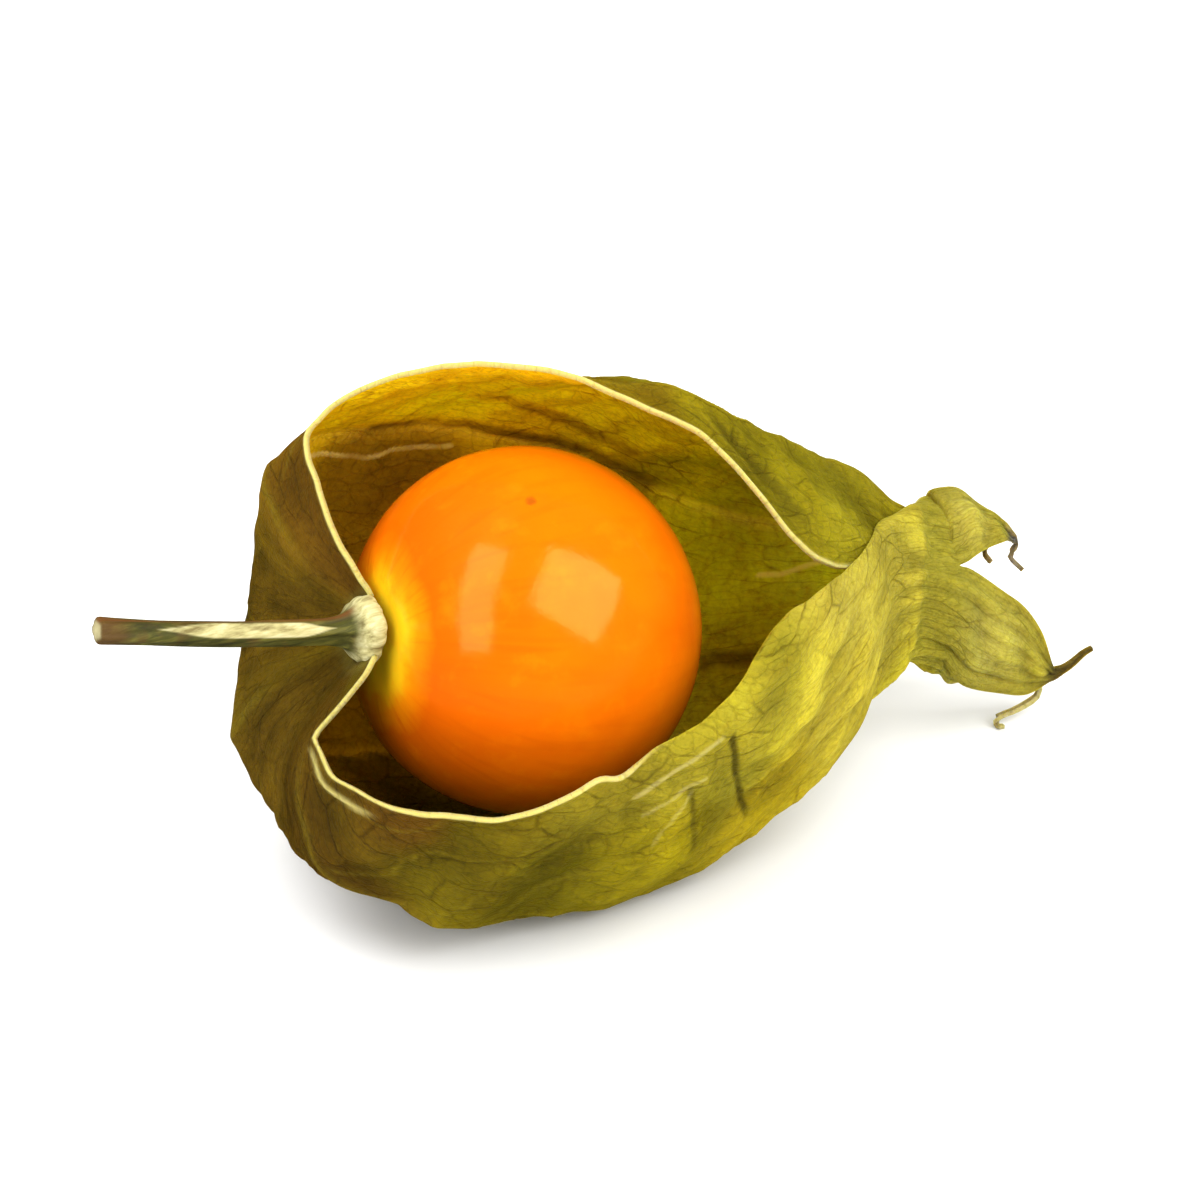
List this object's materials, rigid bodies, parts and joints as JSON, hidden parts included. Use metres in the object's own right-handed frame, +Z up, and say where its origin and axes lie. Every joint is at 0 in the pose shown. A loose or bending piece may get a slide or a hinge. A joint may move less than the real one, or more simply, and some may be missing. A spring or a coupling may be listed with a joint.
{
  "type": "physalis berry",
  "caption": "Ripe orange physalis berry lying in its papery husk, which is torn open along one side, with its stalk.",
  "frame": {"origin": "centre of the underside of the object's bounding box, in the plane it rests on", "axes": "+X along the fruit from the stalk to the tip of the husk, -Y the torn-open side, +Z up"},
  "size_m": [0.0594, 0.0298, 0.0289],
  "materials": {
    "berry_skin": "waxy orange fruit skin",
    "husk_paper": "dry papery olive-yellow leaf tissue with veins",
    "stalk_green": "dull green stalk with a pale collar"
  },
  "bodies": {
    "root": {"berry": "berry_skin", "husk": "husk_paper", "stalk": "stalk_green"}
  },
  "joints": []
}
